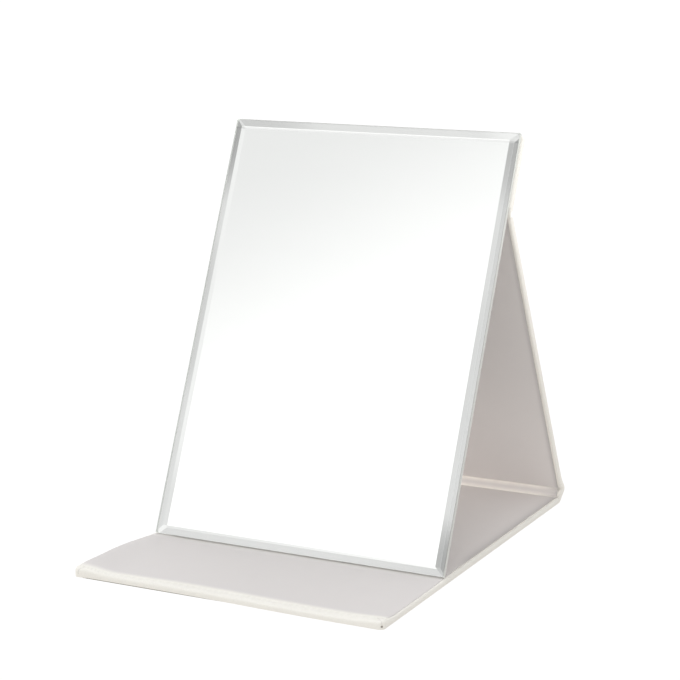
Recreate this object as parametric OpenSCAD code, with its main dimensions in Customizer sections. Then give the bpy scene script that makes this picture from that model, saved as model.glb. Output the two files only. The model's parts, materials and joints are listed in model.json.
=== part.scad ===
// Folding easel mirror: a bevelled glass plate on a three-panel leatherette case.
// The case stands as a triangle. The glass hangs from the strip at the top of the rear panel,
// and its bottom edge stands on the base. All sizes are in millimetres and all angles in degrees.
//
// Every panel is drawn flat in its own frame, with x across, y along the panel and z = 0 on the
// outside of its cover. on_base(), on_spine(), on_rear() and on_mirror() stand it in its place.

/* [Mirror plate] */
// Width of the glass
glass_w = 180; // [120:1:260]
// Height of the glass
glass_h = 250; // [190:1:320]
// Thickness of the glass
glass_t = 4; // [3:0.1:6]
// Width of the bevel on the front face
bevel_w = 4.8; // [2:0.1:15]
// Depth that the bevel takes off the edge
bevel_d = 1.5; // [0.4:0.1:2.6]
// Thickness of the silver and its paint
silver_t = 0.1; // [0.05:0.01:0.3]
// Thickness of the backing film
film_t = 0.4; // [0.2:0.1:1.5]

/* [Standing position] */
// Lean of the glass from upright
lean = 23.7; // [12:0.1:34]
// Rise of the spine strip from the table
spine_rise = 59; // [45:1:72]
// Gap between the edge of the glass and the base
edge_gap = 0.1; // [0.05:0.05:0.5]

/* [Case] */
// Case beyond the glass at each side
side_margin = 1; // [0.5:0.1:6]
// Strip that holds the glass, from the top crease to the top edge of the glass
strip_h = 47; // [38:1:90]
// Rear panel beyond the bottom edge of the glass when folded
heel_margin = 3; // [1.5:0.1:10]
// Base beyond the top edge of the glass when folded
front_margin = 6; // [2:0.1:20]
// Spine strip between its two creases
spine_w = 9; // [8:0.1:16]
// Radius of the panel corners
corner_r = 3; // [1.5:0.1:8]

/* [Layers] */
// Thickness of the outer cover
cover_t = 0.6; // [0.4:0.1:1]
// Thickness of the boards
board_t = 1.8; // [1.2:0.1:2.2]
// Thickness of the lining
lining_t = 0.5; // [0.3:0.1:0.6]
// Thickness of the tape that holds the glass
tape_t = 0.7; // [0.7:0.1:1.2]
// Cover turned in over the edge of a board
turn_in = 12; // [8:0.5:16]
// Border between the side of a panel and its lining
side_border = 2; // [1.2:0.1:6]
// Border between the front of the base and its lining
front_border = 5; // [1.2:0.1:12]
// Lining that runs on under the strip board
tab_w = 10; // [6:0.5:12]

/* [Creases] */
// Open width of the two creases beside the spine strip
foot_gap = 5; // [4.8:0.1:5.2]
// Open width of the crease at the top
top_gap = 6; // [5.4:0.1:9]
// Gap in a sheet where it turns about a crease
turn_gap = 0.1; // [0.05:0.01:0.25]
// Gap between the padding and the turned-in cover
pad_gap = 0.3; // [0.1:0.1:1]
// Gap between the two tapes
tape_gap = 2; // [1:0.5:4]

/* [Hidden] */
$fn = 48;
joined = 0.2; // how far two shapes of one solid reach into each other

case_w = glass_w + 2 * side_margin;
board_w = case_w - 2 * cover_t;
field_w = case_w - 2 * turn_in;
pad_w = field_w - 2 * pad_gap;
lining_w = case_w - 2 * side_border;
edge_t = board_t + 2 * cover_t; // panel at its wrapped edge
panel_t = edge_t + lining_t;    // panel where it is lined
board_top = cover_t + board_t;

base_len = glass_h + front_margin;
crease_h = glass_h - strip_h; // top crease above the bottom edge of the glass
rear_len = crease_h + heel_margin;
foot_half = foot_gap / 2;
top_half = top_gap / 2;
board_start = foot_half + lining_t;         // crease axis to the board, beside the spine
rear_end = rear_len - top_half;             // end of the rear panel below the top crease
strip_start = crease_h + top_half;          // end of the strip above the top crease
strip_back = -tape_t - board_t - cover_t;   // back of the strip, behind the backing film

// The foot and heel creases turn about the middle of the cover, and the top crease about the
// middle of the lining.
cover_axis = cover_t / 2;
lining_axis = panel_t - lining_t / 2;
top_axis_z = -tape_t + lining_t / 2; // the same line, seen from the back of the glass
axis_shift = lining_axis - cover_axis;

// The triangle is closed from the top crease down, with y = 0 at the edge of the glass.
edge_z = panel_t + edge_gap;
top_y = crease_h * sin(lean) - top_axis_z * cos(lean);
top_z = edge_z + crease_h * cos(lean) + top_axis_z * sin(lean);
heel_z = cover_axis + spine_w * sin(spine_rise);
reach = norm([rear_len, axis_shift]);
rear_rise = asin((top_z - heel_z) / reach) + atan(axis_shift / rear_len);
heel_y = top_y + rear_len * cos(rear_rise) + axis_shift * sin(rear_rise);
foot_y = heel_y - spine_w * cos(spine_rise);

// The origin is on the table, under the middle of the whole stand.
stand_y = (heel_y + cover_axis + foot_y - base_len) / 2;

cover_color = [0.93, 0.91, 0.87];
board_color = [0.62, 0.60, 0.56];
padding_color = [0.97, 0.97, 0.95];
lining_color = [0.86, 0.84, 0.82];
tape_color = [0.55, 0.57, 0.60];
film_color = [0.80, 0.80, 0.78];
silver_color = [0.75, 0.77, 0.79];
glass_color = [0.82, 0.90, 0.90, 0.6];

module on_base() {
    translate([0, foot_y - stand_y, 0]) children();
}

module on_spine() {
    translate([0, foot_y - stand_y, cover_axis])
        rotate([spine_rise, 0, 0])
            translate([0, 0, -cover_axis]) children();
}

module on_rear() {
    translate([0, heel_y - stand_y, heel_z])
        rotate([180 - rear_rise, 0, 0])
            translate([0, 0, -cover_axis]) children();
}

// Here y runs up the glass from its bottom edge, and z = 0 is the back of the backing film.
module on_mirror() {
    translate([0, -stand_y, edge_z])
        rotate([90 - lean, 0, 0]) children();
}

// A flat sheet of width w, from y0 to y1 and from z0 to z1
module sheet(w, y0, y1, z0, z1) {
    translate([-w / 2, y0, z0]) cube([w, y1 - y0, z1 - z0]);
}

// The same sheet with a full round along its edge at y_round
module round_edged_sheet(w, y0, y1, z0, z1, y_round) {
    union() {
        sheet(w, y0, y1, z0, z1);
        translate([-w / 2, y_round, (z0 + z1) / 2])
            rotate([0, 90, 0]) cylinder(d = z1 - z0, h = w);
    }
}

// A plate whose corners at y0 have the radius r0, and those at y1 the radius r1
module plate(w, y0, y1, z0, z1, r0 = 0, r1 = 0) {
    translate([0, 0, z0]) linear_extrude(z1 - z0) union() {
        translate([-w / 2, y0 + r0]) square([w, y1 - y0 - r0 - r1]);
        plate_end(w, y0, r0, 1);
        plate_end(w, y1, r1, -1);
    }
}

// The rounded end of a plate at y, which runs on in the direction of way
module plate_end(w, y, r, way) {
    if (r > 0) translate([0, y]) scale([1, way]) {
        translate([r - w / 2, 0]) square([w - 2 * r, r + joined]);
        for (side = [-1, 1]) translate([side * (w / 2 - r), r]) circle(r);
    }
}

// Cover of one panel, wrapped round its board and open over the field between the turned-in
// edges. An end turns in where its turn-in is over 0, and covers the board's end where wall is
// true.
module wrapped_cover(y0, y1, r0, r1, in0, in1, wall0, wall1) {
    difference() {
        plate(case_w, y0, y1, 0, edge_t, r0, r1);
        wrapped_board(y0, y1, r0, r1, wall0, wall1);
        sheet(field_w, y0 + (in0 > 0 ? in0 : -joined), y1 - (in1 > 0 ? in1 : -joined),
            board_top, edge_t + joined);
    }
}

// Board of one panel, inside its cover
module wrapped_board(y0, y1, r0, r1, wall0, wall1) {
    plate(board_w, y0 + (wall0 ? cover_t : 0), y1 - (wall1 ? cover_t : 0), cover_t, board_top,
        max(r0 - cover_t, 0), max(r1 - cover_t, 0));
}

// Lining of one panel that turns down at y, over the end of the board behind it
module turned_down(y, way) {
    sheet(lining_w, min(y, y + way * lining_t), max(y, y + way * lining_t),
        cover_t, edge_t + joined);
}

module base_cover() {
    color(cover_color) on_base() union() {
        wrapped_cover(-base_len, -board_start, corner_r, 0, turn_in, 0, true, false);
        sheet(case_w, -board_start - joined, -cover_axis - turn_gap, 0, cover_t);
    }
}

module base_board() {
    color(board_color) on_base()
        wrapped_board(-base_len, -board_start, corner_r, 0, true, false);
}

module base_padding() {
    color(padding_color) on_base()
        sheet(pad_w, -base_len + turn_in + pad_gap, -board_start, board_top, edge_t);
}

module base_lining() {
    color(lining_color) on_base() union() {
        sheet(lining_w, -base_len + front_border, -foot_half, edge_t, panel_t);
        turned_down(-foot_half, -1);
    }
}

module spine_cover() {
    color(cover_color) on_spine() union() {
        wrapped_cover(board_start, spine_w - board_start, 0, 0, 0, 0, false, false);
        round_edged_sheet(case_w, 0, spine_w / 2, 0, cover_t, 0);
        round_edged_sheet(case_w, spine_w / 2 - joined, spine_w, 0, cover_t, spine_w);
    }
}

module spine_board() {
    color(board_color) on_spine()
        wrapped_board(board_start, spine_w - board_start, 0, 0, false, false);
}

module spine_padding() {
    color(padding_color) on_spine()
        sheet(pad_w, board_start, spine_w - board_start, board_top, edge_t);
}

module spine_lining() {
    color(lining_color) on_spine() union() {
        sheet(lining_w, foot_half, spine_w - foot_half, edge_t, panel_t);
        turned_down(foot_half, 1);
        turned_down(spine_w - foot_half, -1);
    }
}

module rear_cover() {
    color(cover_color) on_rear() union() {
        wrapped_cover(board_start, rear_end, 0, 0, 0, 0, false, true);
        sheet(case_w, cover_axis + turn_gap, board_start + joined, 0, cover_t);
    }
}

module rear_board() {
    color(board_color) on_rear()
        wrapped_board(board_start, rear_end, 0, 0, false, true);
}

module rear_padding() {
    color(padding_color) on_rear()
        sheet(pad_w, board_start, rear_end, board_top, edge_t);
}

module rear_lining() {
    color(lining_color) on_rear() union() {
        round_edged_sheet(lining_w, foot_half, rear_len, edge_t, panel_t, rear_len);
        turned_down(foot_half, 1);
    }
}

module strip_cover() {
    color(cover_color) on_mirror() translate([0, 0, strip_back])
        wrapped_cover(strip_start, glass_h, 0, corner_r, 0, turn_in, true, true);
}

module strip_board() {
    color(board_color) on_mirror() translate([0, 0, strip_back])
        wrapped_board(strip_start, glass_h, 0, corner_r, true, true);
}

// The lining crosses the top crease and ends as a tab between the strip board and the glass.
module strip_lining() {
    color(lining_color) on_mirror() union() {
        sheet(lining_w, crease_h + lining_t / 2 + turn_gap, strip_start, -tape_t, -tape_t + lining_t);
        sheet(pad_w, strip_start - joined, strip_start + tab_w, -tape_t, -tape_t + lining_t);
    }
}

module fixing_tapes() {
    tapes_start = strip_start + tab_w + pad_gap;
    tape_w = (glass_h - turn_in - pad_gap - tapes_start - tape_gap) / 2;
    color(tape_color) on_mirror() for (k = [0, 1]) {
        y = tapes_start + k * (tape_w + tape_gap);
        sheet(pad_w, y, y + tape_w, -tape_t, 0);
    }
}

module backing_film() {
    color(film_color) on_mirror() sheet(glass_w, 0, glass_h, 0, film_t);
}

module silvering() {
    color(silver_color) on_mirror() sheet(glass_w, 0, glass_h, film_t, film_t + silver_t);
}

// Outline across the glass: a plate of width w, bevelled along both of its front edges
module bevelled_outline(w) {
    polygon([
        [0, 0], [w, 0], [w, glass_t - bevel_d], [w - bevel_w, glass_t],
        [bevel_w, glass_t], [0, glass_t - bevel_d],
    ]);
}

// Two bevelled bars cross, so that the bevels meet in a mitre at each corner.
module mirror_glass() {
    color(glass_color) on_mirror() translate([-glass_w / 2, 0, film_t + silver_t]) intersection() {
        translate([0, glass_h, 0]) rotate([90, 0, 0]) linear_extrude(glass_h) bevelled_outline(glass_w);
        rotate([90, 0, 90]) linear_extrude(glass_w) bevelled_outline(glass_h);
    }
}

base_cover();
base_board();
base_padding();
base_lining();
spine_cover();
spine_board();
spine_padding();
spine_lining();
rear_cover();
rear_board();
rear_padding();
rear_lining();
strip_cover();
strip_board();
strip_lining();
fixing_tapes();
backing_film();
silvering();
mirror_glass();
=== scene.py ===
"""Folding easel mirror: a bevelled glass plate on a cream leatherette case."""

import json
import math

import bmesh
import bpy
import numpy as np
from bpy.props import FloatProperty, FloatVectorProperty, PointerProperty
from mathutils import Matrix, Vector


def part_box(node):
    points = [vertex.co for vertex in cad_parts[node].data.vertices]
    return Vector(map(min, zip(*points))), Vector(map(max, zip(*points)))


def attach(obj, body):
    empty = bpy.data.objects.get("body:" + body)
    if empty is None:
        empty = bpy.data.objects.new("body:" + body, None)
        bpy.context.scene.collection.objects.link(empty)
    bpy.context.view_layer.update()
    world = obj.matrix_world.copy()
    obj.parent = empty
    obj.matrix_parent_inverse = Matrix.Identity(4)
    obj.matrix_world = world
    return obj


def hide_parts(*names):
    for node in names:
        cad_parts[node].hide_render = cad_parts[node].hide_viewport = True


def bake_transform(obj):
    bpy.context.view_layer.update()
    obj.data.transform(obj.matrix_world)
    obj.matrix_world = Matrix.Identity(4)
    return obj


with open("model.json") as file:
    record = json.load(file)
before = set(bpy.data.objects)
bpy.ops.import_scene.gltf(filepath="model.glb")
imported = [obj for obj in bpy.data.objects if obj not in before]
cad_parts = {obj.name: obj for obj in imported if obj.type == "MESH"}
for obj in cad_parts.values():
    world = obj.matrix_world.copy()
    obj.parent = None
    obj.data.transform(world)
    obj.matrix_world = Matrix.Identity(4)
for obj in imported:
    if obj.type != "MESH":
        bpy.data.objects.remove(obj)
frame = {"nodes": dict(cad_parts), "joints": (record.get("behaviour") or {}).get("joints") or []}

bl_info = {
    "name": "Folding easel mirror",
    "version": (1, 0, 0),
    "blender": (4, 5, 0),
    "location": "View3D > Sidebar > Easel mirror",
    "description": "Dresses the folding easel mirror: leatherette case, lining, glass and studio",
    "category": "Add Mesh",
}

MM = 0.001

# The case's lines in the y, z plane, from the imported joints: foot, heel and top crease.
PIVOTS = {j["name"]: np.array(j["pos_m"][1:], float) for j in frame["joints"]}
FOOT = PIVOTS["foot_crease"]
HEEL = PIVOTS["heel_crease"]
TOP = PIVOTS["top_crease"]
BASE_WAY = np.array([1.0, 0.0])
BASE_BOX = np.array(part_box("base_cover"), float)
LINING_BOX = np.array(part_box("base_lining"), float)
GLASS_BOX = np.array(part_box("mirror_glass"), float)

# Bands have fine steps within CREASE_ZONE of a crease, and turn with it within CHORD_HALF.
CREASE_ZONE = 8 * MM
FINE_STEP = 0.15 * MM
CHORD_HALF = 1.5 * MM
# Across a band, from a long edge: EDGE_POINTS round it, one at each BORDER_STEP up to BORDER_ZONE,
# and FIELD_POINTS that spread out towards the middle. The edge is widest at WIDEST of its height.
EDGE_POINTS = 9
BORDER_STEP = 0.13 * MM
BORDER_ZONE = 3.2 * MM
FIELD_POINTS = 15
WIDEST = 0.42
# Distance to a rounded end, where a band has none.
NO_END = 1.0
# Radius of the lining's corners, seen flat.
LINING_CORNER = 1.5 * MM
# The backing film lies this far in front of the top crease: the tape less half the lining.
FILM_OFFSET = 0.45 * MM
# From the heel crease up the rear panel, to where two lengths of the cover and lining meet.
SEAM = 96 * MM
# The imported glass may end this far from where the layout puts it.
FIT = 0.4 * MM
# Points closer than this are one.
MERGE = 2e-7
# The lining's slow waves: the length of each in metres, and its share of the height.
WAVES = ((0.110, 0.5), (0.061, 0.3), (0.034, 0.2))


# ---------------------------------------------------------------- sizes and colours


def length(name, description, mm):
    """A length, given in millimetres."""
    return FloatProperty(
        name=name, description=description, default=mm * MM, unit="LENGTH", precision=5)


def turning(name, description, radians):
    """An angle."""
    return FloatProperty(name=name, description=description, default=radians, unit="ROTATION")


def level(name, description, value):
    """A plain number."""
    return FloatProperty(name=name, description=description, default=value)


def colour(name, description, rgb):
    """A colour."""
    return FloatVectorProperty(
        name=name, description=description, default=rgb, subtype="COLOR", size=3)


class CaseSizes(bpy.types.PropertyGroup):
    """Sizes of the leatherette case."""

    cover_t: length("Cover", "Thickness of the outer cover", 0.6)
    lining_t: length("Lining", "Thickness of the lining", 0.5)
    strip_h: length("Strip height", "Strip that holds the glass, above the top crease", 47)
    corner: length("Corner radius", "Radius of the case's corners, seen flat", 3.0)
    top_reach: length(
        "Upper rounding", "Reach of a wrapped edge's rounding on the lined face", 1.5)
    under_reach: length(
        "Lower rounding", "Reach of a wrapped edge's rounding on the outer face", 0.25)
    front_reach: length(
        "Front rounding", "Reach of the front edge's rounding on the lined face", 2.1)
    puff: length("Border puff", "How far the turned-in border stands up by the lining", 0.32)
    fold_puff: length("Corner puff", "How far the folds in the front corners stand up", 1.1)
    curl: length("Left swell", "How far the left border swells towards the front", 3.2)
    warp: length("Warp", "How far the base's front left corner lifts off the table", 1.15)
    left_out: length("Left spread", "How far the left border spreads towards the front", 1.6)
    tip_out: length("Tip spread", "How far the front left corner spreads beyond that", 1.3)
    gather: length("Gather", "How far the cover stands out beside the heel crease", 1.0)
    side_border: length("Side border", "Border of cover beside the lining", 2.0)
    front_border: length("Front border", "Border of cover in front of the lining", 6.0)
    crease_half: length(
        "Crease half width", "From a crease line to where the boards begin to rise", 2.5)
    bulge: length("Side bulge", "How far the wrapped sides stand out over the boards", 0.3)
    crease_cover: length("Cover at a crease", "Thickness of the border in a crease", 2.35)
    crease_lining: length("Lining at a crease", "Height of the lining in a crease", 3.0)
    ripple: length("Ripple", "Height of the lining's slow ripple", 0.07)


class GlassSizes(bpy.types.PropertyGroup):
    """Sizes of the mirror plate."""

    lean: turning("Lean", "Lean of the glass from upright", math.radians(23.7))
    height: length("Height", "Height of the glass", 250)
    thickness: length("Thickness", "Thickness of the glass", 4.0)
    bevel_w: length("Bevel width", "Width of the bevel on the front", 4.8)
    bevel_d: length("Bevel depth", "Depth that the bevel takes off the edge", 1.5)
    back_gap: length("Back gap", "Gap between the glass and its silver", 0.03)
    behind: length("Behind the glass", "Backing film and silver behind the glass", 0.5)
    arris: length("Arris", "Polished break along the sharp edges", 0.07)


class Finishes(bpy.types.PropertyGroup):
    """Colours of the materials."""

    cover: colour("Cover", "Cream leatherette", (0.95, 0.932, 0.88))
    cover_rim: colour(
        "Cover at its edges", "Warmer tone of the stretched edges", (0.95, 0.926, 0.868))
    lining: colour("Lining", "Pale grey lining", (0.735, 0.708, 0.70))
    # painted highlight: this paler colour stands in for the light on the spine's lining and crease
    # arcs
    stretched: colour(
        "Stretched lining", "Paler lining over the creases", (0.95, 0.92, 0.88))
    board: colour("Board", "Grey board", (0.36, 0.34, 0.30))
    padding: colour("Padding", "White foam", (0.86, 0.86, 0.83))
    tape: colour("Tape", "Grey foam tape", (0.30, 0.32, 0.34))
    film: colour("Backing film", "Pale film on the back of the glass", (0.78, 0.765, 0.745))
    silver: colour("Silver", "Silver coat", (0.955, 0.96, 0.96))
    glass: colour("Glass", "Tint of the glass", (0.985, 0.992, 0.978))
    ground: colour("Ground edge", "Matt edge of the glass", (0.70, 0.72, 0.69))


class StudioSettings(bpy.types.PropertyGroup):
    """Camera, floor and light."""

    lens: level("Lens", "Focal length in millimetres on a 36 mm sensor", 105.906)
    yaw: turning("Yaw", "Camera turned to the left of the y axis", 0.46006)
    pitch: turning("Pitch", "Camera turned down from level", 0.2045)
    roll: turning("Roll", "Camera rolled about its own axis", 0.00214)
    place: FloatVectorProperty(
        name="Place", description="Place of the camera",
        default=(0.49492, -0.99441, 0.34678), subtype="XYZ", size=3)
    surround: level("Surround", "Brightness of the studio's walls", 0.78)
    overhead: level("Overhead", "Extra brightness of the soft light overhead", 1.57)
    right: level("Right", "Brightness of the low light on the right", 0.2)
    left: level("Left", "Brightness of the low light on the left", 2.1)
    front: level("Front", "Brightness of the walls low in front", 0.72)
    lamp: level("Lamp", "Power of the small lamp close on the right, in watts", 0.038)
    low_lamp: level("Low lamp", "Power of the low lamp on the left, in watts", 0.06)
    shade: level("Right shade", "Brightness of the dimmer wall high on the right", 0.45)
    card: level("Card", "Brightness of the white card that the glass faces", 1.17)
    card_dim: level("Card's dim corner", "Brightness of the card's upper left corner", 0.88)
    floor_glow: level("Floor glow", "Light that the floor gives off by itself", 0.50)
    floor_white: level("Floor white", "Share of the light that the floor throws back", 0.40)


PROPERTY_GROUPS = (CaseSizes, GlassSizes, Finishes, StudioSettings)


# ---------------------------------------------------------------- lines and sections


def unit(v):
    """v divided by its length."""
    return v / np.linalg.norm(v)


def heading(angle):
    """(cos a, sin a): a direction in the y, z plane."""
    return np.array([math.cos(angle), math.sin(angle)])


def smooth(x, lo, hi):
    """Smooth step: 0 below lo, 1 above hi, and t * t * (3 - 2 t) between them."""
    t = np.clip((x - lo) / (hi - lo), 0, 1)
    return t * t * (3 - 2 * t)


def travelled(points):
    """Distance of each point of a line from its first: the sum of the steps up to it."""
    return np.concatenate([[0], np.cumsum(np.linalg.norm(np.diff(points, axis=0), axis=1))])


def rounded_line(corners, cut, s):
    """Points and headings at the distances s along a bent line whose bends are arcs.

    An arc starts and ends cut from its corner, so its radius is cut / tan(turn / 2). Its point at
    the share f of its way has turned by f * turn from the first leg.
    """
    corners = [np.asarray(c, float) for c in corners]
    legs = [b - a for a, b in zip(corners[:-1], corners[1:])]
    marks = np.concatenate([[0], np.cumsum([np.linalg.norm(v) for v in legs])])
    ways = [math.atan2(v[1], v[0]) for v in legs]
    points = np.zeros((len(s), 2))
    angles = np.zeros(len(s))
    for k, leg in enumerate(legs):
        on = (s >= marks[k]) if k else np.ones(len(s), bool)
        points[on] = corners[k] + (s[on] - marks[k])[:, None] * unit(leg)
        angles[on] = ways[k]
    for k in range(1, len(legs)):
        turn = ways[k] - ways[k - 1]
        radius = cut / math.tan(abs(turn) / 2)
        side = math.copysign(1, turn)
        start = corners[k] - cut * unit(legs[k - 1])
        centre = start + side * radius * heading(ways[k - 1] + math.pi / 2)
        on = np.abs(s - marks[k]) < cut
        a = ways[k - 1] + turn * (s[on] - marks[k] + cut) / (2 * cut)
        points[on] = centre + side * radius * np.stack([np.sin(a), -np.cos(a)], 1)
        angles[on] = a
    return points, angles


def edge_drop(distance, reach, half, power=2.5):
    """How far a face drops towards the middle of its sheet near an edge.

    half * (1 - (1 - u^p)^(1/p)) with u = 1 - distance / reach: a superellipse that meets the
    other face's at the edge.
    """
    u = np.clip(1 - distance / reach, 0, 1)
    return half * (1 - (1 - u**power) ** (1 / power))


def plan_distance(inset, along, corner):
    """Distance to the outline of a plate with round corners.

    inset is measured in from the straight side, and along from the end. In the corner square it
    is corner - |(corner - inset, corner - along)|, and elsewhere the smaller of the two.
    """
    in_corner = (inset < corner) & (along < corner)
    round_d = corner - np.hypot(corner - inset, corner - along)
    return np.where(in_corner, round_d, np.minimum(inset, along))


def round_section(right_top, right_low, left_low, left_top):
    """Joins four quarters, each from the edge to the middle, into one way round the section.

    It runs over the upper face from the middle to +x, back under it to -x, and over the upper face
    to the middle.
    """
    return np.concatenate(
        [right_top[:, ::-1], right_low[:, 1:], left_low[:, -2::-1], left_top[:, 1:-1]], 1)


def wrapped_band(line, angles, low, high, half_w, ends, corner, reach_low, reach_high, swell=None):
    """A sheet carried along a line in the y, z plane, its long edges and ends rounded.

    At each station the section runs from low to high along the line's left-hand normal and from
    -half_w to half_w across. A point of the upper face at the distance d from the outline lies at
    high - drop(d) + swell * (its share of the height), and one of the lower face at low + drop(d);
    reach_high is the pair of reaches at the sides and at the end. ends holds, for each station,
    the distance to a rounded end, and swell(x, inset, along) gives the height that the upper face
    gains. Returns the points as an array [station, place round the section, xyz], and each point's
    distance to the outline.
    """
    first = max(*reach_high, reach_low)
    rounding = first * (1 - np.cos(np.linspace(0, math.pi / 2, EDGE_POINTS)))
    near = np.arange(first, BORDER_ZONE, BORDER_STEP)[1:]
    flat = BORDER_ZONE + (half_w - BORDER_ZONE) * np.linspace(0, 1, FIELD_POINTS) ** 1.5
    across = np.concatenate([rounding, near, flat])
    along = ends[:, None]
    # inside a round corner the outline itself lies further in
    arc = corner - np.sqrt(np.maximum(corner**2 - (corner - np.minimum(along, corner)) ** 2, 0))
    outline = np.where(along < corner, arc, 0)
    inset = outline + across[None, :] * (half_w - outline) / half_w
    dist = plan_distance(inset, along, corner)
    # how far the nearest edge is the end rather than the side: 0 to 1
    gap_e, gap_a = np.maximum(corner - inset, 0), np.maximum(corner - along, 0)
    turned = gap_a**2 / np.maximum(gap_e**2 + gap_a**2, 1e-18)
    share = np.where((gap_e + gap_a) > 0, turned, np.where(along < inset, 1.0, 0.0))
    height = (high - low)[:, None]
    middle = WIDEST * height
    reach = reach_high[0] + (reach_high[1] - reach_high[0]) * share
    upper = high[:, None] - edge_drop(dist, np.minimum(reach, height), height - middle)
    lower = low[:, None] + edge_drop(dist, np.minimum(reach_low, height), middle)
    x = half_w - inset
    xs = round_section(x, x, -x, -x)
    zs = round_section(upper, lower, lower, upper)
    if swell is not None:
        gain = swell(xs, half_w - np.abs(xs), np.broadcast_to(along, xs.shape))
        zs = zs + gain * np.clip((zs - low[:, None]) / height, 0, 1)
    points = np.zeros((*xs.shape, 3))
    points[..., 0] = xs
    points[..., 1] = line[:, None, 0] - zs * np.sin(angles)[:, None]
    points[..., 2] = line[:, None, 1] + zs * np.cos(angles)[:, None]
    return points, round_section(dist, dist, dist, dist)


def ring_quads(index):
    """Quads between each row of indices and the next, closed round the rows."""
    a, b = index[:-1], index[1:]
    return np.stack([a, np.roll(a, -1, 1), np.roll(b, -1, 1), b], -1).reshape(-1, 4)


def closed_tube(points, cap_start, cap_end):
    """Faces of a band that closes round its section: quads, and caps across its ends.

    A cap joins place k on one side of an edge to place -k on its other side, from the +x edge and
    then from the -x edge, each to the middle, so it stays flat.
    """
    n, m = points.shape[:2]
    index = np.arange(n * m).reshape(n, m)
    parts = [ring_quads(index)]
    quarter = m // 4
    steps = np.arange(quarter + 1)
    for station, wanted, flip in ((0, cap_start, False), (n - 1, cap_end, True)):
        for turn in (-quarter, quarter) if wanted else ():
            ring = np.roll(index[station], turn)
            here, twin = ring[steps], ring[-steps]
            cap = np.stack([here[:-1], here[1:], twin[1:], twin[:-1]], -1)
            parts.append(cap[:, ::-1] if flip else cap)
    return np.concatenate(parts)


def make_piece(name, points, faces, uv=None, attributes=None, sharp=50.0):
    """A mesh object from arrays: doubles merged, faces outwards, edges over sharp marked."""
    mesh = bpy.data.meshes.new(name)
    mesh.from_pydata(points.reshape(-1, 3).tolist(), [], faces.tolist())
    if uv is not None:
        layer = mesh.uv_layers.new(name="Surface")
        loops = np.zeros(len(mesh.loops), np.int32)
        mesh.loops.foreach_get("vertex_index", loops)
        layer.data.foreach_set("uv", uv.reshape(-1, 2)[loops].astype(np.float32).ravel())
    for key, values in (attributes or {}).items():
        layer = mesh.attributes.new(key, "FLOAT", "POINT")
        layer.data.foreach_set("value", values.reshape(-1).astype(np.float32))
    work = bmesh.new()
    work.from_mesh(mesh)
    bmesh.ops.remove_doubles(work, verts=work.verts, dist=MERGE)
    bmesh.ops.recalc_face_normals(work, faces=work.faces)
    work.to_mesh(mesh)
    work.free()
    mesh.validate()
    mesh.shade_smooth()
    mesh.set_sharp_from_angle(angle=math.radians(sharp))
    piece = bpy.data.objects.new(name, mesh)
    bpy.context.scene.collection.objects.link(piece)
    return piece


# ---------------------------------------------------------------- the case's layout


class Layout:
    """The lines of the case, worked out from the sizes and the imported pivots."""

    def __init__(self, scene):
        c, g = scene.case_sizes, scene.glass_sizes
        self.case, self.glass = c, g
        self.half_w = BASE_BOX[1][0]
        self.edge_t = BASE_BOX[1][2]
        self.panel_t = LINING_BOX[1][2]
        self.front = BASE_BOX[0][1]
        # the line that the cover turns about, and the one that the lining turns about
        self.axis = c.cover_t / 2
        self.lining_axis = self.panel_t - c.lining_t / 2
        shift = self.lining_axis - self.axis
        reach = np.linalg.norm(TOP - HEEL)
        self.rear_len = math.sqrt(reach**2 - shift**2)
        to_top = math.atan2(*(TOP - HEEL)[::-1])
        self.rear_way = heading(to_top - math.asin(shift / reach))
        self.spine_w = np.linalg.norm(HEEL - FOOT)
        self.spine_way = unit(HEEL - FOOT)
        self.up = heading(math.pi / 2 - g.lean)
        self.out = heading(math.pi - g.lean)
        # distances along the cover's line, from the front edge
        self.foot = FOOT[0] - self.front
        self.heel = self.foot + self.spine_w
        self.middle = self.foot + self.spine_w / 2
        # the back of the backing film, at the bottom edge of the glass
        self.film_foot = TOP - self.up * (g.height - c.strip_h) + self.out * FILM_OFFSET
        found = GLASS_BOX[1][2]
        wall_top = self.out * (g.behind + g.thickness - g.bevel_d)
        expected = (self.film_foot + self.up * g.height + wall_top)[1]
        if abs(found - expected) > FIT:
            raise RuntimeError(f"the glass ends at {found:.5f} m, not at {expected:.5f} m")

    def chord(self, before, after, pivot):
        """Two points, CHORD_HALF before and after the pivot, along the middle of two headings."""
        step = CHORD_HALF * unit(before + after)
        return (0.0, *(pivot - step)), (0.0, *(pivot + step))


def joined(*parts):
    """Several stretches of distances as one, in order and without doubles."""
    return np.unique(np.concatenate(parts).round(8))


def stations(*spans):
    """Distances along a line: each span is (start, end, step)."""
    return joined(*[np.linspace(a, b, max(2, round((b - a) / step) + 1)) for a, b, step in spans])


def end_stations(start, reach, count, way=1):
    """Distances that crowd towards a rounded end: start + way * reach * (1 - cos t)."""
    t = np.linspace(0, math.pi / 2, count)
    return np.sort(start + way * reach * (1 - np.cos(t)))


def crease_floor(lay, s, low, high, start, end):
    """Height of a face along the front line: low in the foot and heel creases, high elsewhere.

    low + (high - low) * the smaller of S(|s - foot|; start..end) and S(|s - heel|; start..end).
    """
    rise = [smooth(np.abs(s - mark), start, end) for mark in (lay.foot, lay.heel)]
    return low + (high - low) * np.minimum(*rise)


def slow_ripple(x, s, seed):
    """Sum of three long waves over the sheet, each a sine of a slanted direction, from -1 to 1."""
    rng = np.random.default_rng(seed)
    total = np.zeros(np.broadcast(x, s).shape)
    for wave, weight in WAVES:
        angle, phase = rng.uniform(0, math.pi), rng.uniform(0, 2 * math.pi)
        way = x * math.cos(angle) + s * math.sin(angle)
        total = total + weight * np.sin(2 * math.pi / wave * way + phase)
    return total


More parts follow.
